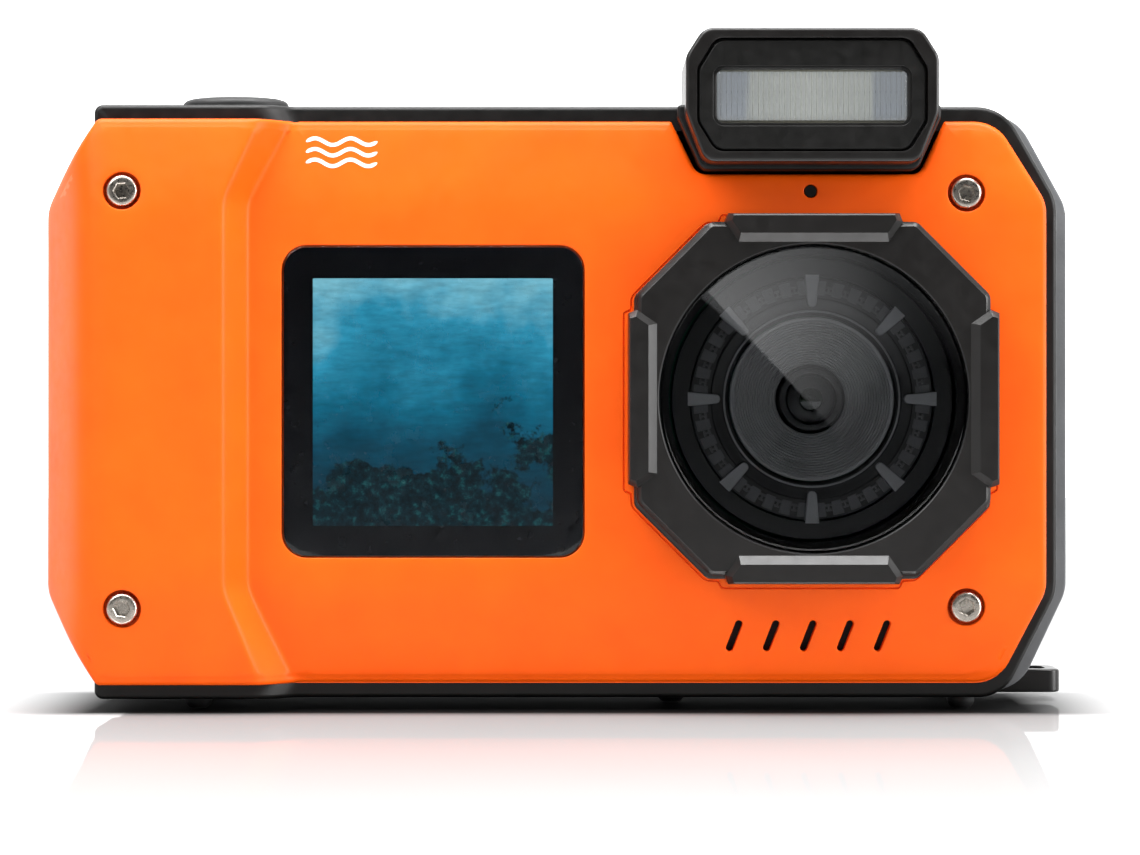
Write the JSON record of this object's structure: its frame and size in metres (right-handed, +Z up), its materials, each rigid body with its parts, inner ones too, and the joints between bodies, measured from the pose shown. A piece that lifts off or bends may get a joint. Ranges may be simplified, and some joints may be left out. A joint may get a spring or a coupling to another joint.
{
  "type": "action camera",
  "caption": "Waterproof action camera with a side grip, a front selfie screen, an octagonal lens hood, a raised flash and a sealed battery door.",
  "frame": {"origin": "on the surface under the feet, below the middle of the camera", "axes": "+X to the right of someone facing the lens, +Y from the lens towards the rear screen, +Z up"},
  "size_m": [0.1108, 0.04, 0.0723],
  "materials": {
    "orange_plastic": "satin moulded plastic, vivid orange",
    "black_plastic": "satin black moulded plastic",
    "grey_plastic": "finely grained dark grey plastic",
    "hood_plastic": "satin black-brown plastic with worn lighter edges",
    "button_rubber": "matt black silicone",
    "seal_rubber": "black seal rubber",
    "steel": "warm grey steel",
    "brass": "machined brass",
    "clear_glass": "clear coated glass",
    "screen_glass": "black printed cover glass",
    "display": "lit liquid crystal panel",
    "lens_black": "black anodised lens parts",
    "reflector": "polished flash reflector",
    "board": "green circuit board",
    "battery": "wrapped battery cell",
    "socket_metal": "stamped connector shell"
  },
  "bodies": {
    "camera_body": {"front_shell": "orange_plastic", "mid_frame": "black_plastic", "body_seal": "seal_rubber", "rear_shell": "grey_plastic", "lens_hood": "hood_plastic", "lens_window": "clear_glass", "lens_window_seal": "seal_rubber", "lens_trim_ring": "lens_black", "lens_cone": "lens_black", "lens_barrel": "lens_black", "front_element": "clear_glass", "lens_holder": "lens_black", "image_sensor": "board", "flash_housing": "hood_plastic", "flash_bezel": "black_plastic", "flash_lens": "clear_glass", "flash_reflector": "reflector", "flash_tube": "clear_glass", "flash_capacitor": "battery", "front_display_window": "screen_glass", "front_display_seal": "seal_rubber", "front_display_panel": "display", "rear_display_window": "screen_glass", "rear_display_panel": "display", "hinge_pin": "steel", "battery": "battery", "card_socket": "socket_metal", "memory_card": "black_plastic", "usb_socket": "socket_metal", "main_board": "board", "key_board": "board", "speaker": "black_plastic", "microphone": "socket_metal", "tripod_insert": "brass", "strap_lug": "hood_plastic", "corner_screw_1": "steel", "corner_screw_2": "steel", "corner_screw_3": "steel", "corner_screw_4": "steel", "foot_1": "seal_rubber", "foot_2": "seal_rubber", "foot_3": "seal_rubber", "foot_4": "seal_rubber", "foot_5": "seal_rubber"},
    "battery_door": {"battery_door": "grey_plastic", "door_seal": "seal_rubber"},
    "door_latch": {"door_latch": "orange_plastic"},
    "shutter_button": {"shutter_button": "button_rubber"},
    "power_button": {"power_button": "button_rubber"},
    "screen_button": {"screen_button": "button_rubber"},
    "zoom_tele_button": {"zoom_tele_button": "button_rubber"},
    "zoom_wide_button": {"zoom_wide_button": "button_rubber"},
    "ok_button": {"ok_button": "button_rubber"},
    "up_button": {"up_button": "button_rubber"},
    "down_button": {"down_button": "button_rubber"},
    "left_button": {"left_button": "button_rubber"},
    "right_button": {"right_button": "button_rubber"},
    "menu_button": {"menu_button": "button_rubber"},
    "playback_button": {"playback_button": "button_rubber"}
  },
  "joints": [
    {"name": "shutter_press", "type": "slide", "parent": "camera_body", "child": "shutter_button", "axis": [0, 0, -1], "range_m": [0, 0.0008], "stiffness_N_per_m": 900},
    {"name": "power_press", "type": "slide", "parent": "camera_body", "child": "power_button", "axis": [0, 0, -1], "range_m": [0, 0.0006], "stiffness_N_per_m": 700},
    {"name": "screen_press", "type": "slide", "parent": "camera_body", "child": "screen_button", "axis": [0, 0, -1], "range_m": [0, 0.0006], "stiffness_N_per_m": 700},
    {"name": "zoom_tele_press", "type": "slide", "parent": "camera_body", "child": "zoom_tele_button", "axis": [0, -1, 0], "range_m": [0, 0.0007], "stiffness_N_per_m": 700},
    {"name": "zoom_wide_press", "type": "slide", "parent": "camera_body", "child": "zoom_wide_button", "axis": [0, -1, 0], "range_m": [0, 0.0007], "stiffness_N_per_m": 700},
    {"name": "ok_press", "type": "slide", "parent": "camera_body", "child": "ok_button", "axis": [0, -1, 0], "range_m": [0, 0.0007], "stiffness_N_per_m": 700},
    {"name": "up_press", "type": "slide", "parent": "camera_body", "child": "up_button", "axis": [0, -1, 0], "range_m": [0, 0.0007], "stiffness_N_per_m": 700},
    {"name": "down_press", "type": "slide", "parent": "camera_body", "child": "down_button", "axis": [0, -1, 0], "range_m": [0, 0.0007], "stiffness_N_per_m": 700},
    {"name": "left_press", "type": "slide", "parent": "camera_body", "child": "left_button", "axis": [0, -1, 0], "range_m": [0, 0.0007], "stiffness_N_per_m": 700},
    {"name": "right_press", "type": "slide", "parent": "camera_body", "child": "right_button", "axis": [0, -1, 0], "range_m": [0, 0.0007], "stiffness_N_per_m": 700},
    {"name": "menu_press", "type": "slide", "parent": "camera_body", "child": "menu_button", "axis": [0, -1, 0], "range_m": [0, 0.0007], "stiffness_N_per_m": 700},
    {"name": "playback_press", "type": "slide", "parent": "camera_body", "child": "playback_button", "axis": [0, -1, 0], "range_m": [0, 0.0007], "stiffness_N_per_m": 700},
    {"name": "door_hinge", "type": "hinge", "parent": "camera_body", "child": "battery_door", "pos_m": [-0.0538, 0.0136, 0.0335], "axis": [0, 0, -1], "range_deg": [0, 90]},
    {"name": "latch_slide", "type": "slide", "parent": "battery_door", "child": "door_latch", "axis": [0, 0, 1], "range_m": [0, 0.003]}
  ]
}
